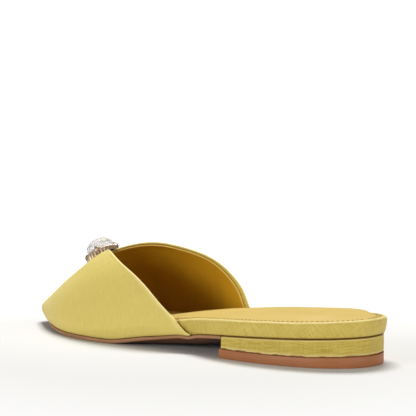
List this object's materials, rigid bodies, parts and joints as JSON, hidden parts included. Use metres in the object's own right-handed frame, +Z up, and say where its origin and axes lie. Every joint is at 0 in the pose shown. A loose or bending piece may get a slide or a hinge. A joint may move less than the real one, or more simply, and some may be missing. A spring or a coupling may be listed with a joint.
{
  "type": "mule",
  "caption": "Flat slip-on mule for the left foot with an almond-pointed fabric vamp, peaked throat, round jewel, wrapped footbed and low heel.",
  "frame": {"origin": "centre of the bounding box's bottom face, on the floor", "axes": "+X towards the toe, +Y towards the wearer's left, +Z up"},
  "size_m": [0.2514, 0.0768, 0.0515],
  "materials": {
    "fabric": "slubby satin-weave cloth, mustard yellow, soft sheen",
    "sock": "smooth padded sock, golden yellow, satin",
    "lining": "thin smooth lining, golden brown, satin",
    "sole_tan": "tan sole leather and stacked top lift, semi-matt",
    "gold": "polished pale gold metal",
    "crystal": "clear faceted crystal, polished"
  },
  "bodies": {
    "root": {"outsole": "sole_tan", "footbed": "fabric", "insole_sock": "sock", "vamp": "fabric", "heel_block": "fabric", "heel_top_lift": "sole_tan", "ornament_back_plate": "gold", "ornament_setting": "gold", "ornament_crystal": "crystal"}
  },
  "joints": []
}
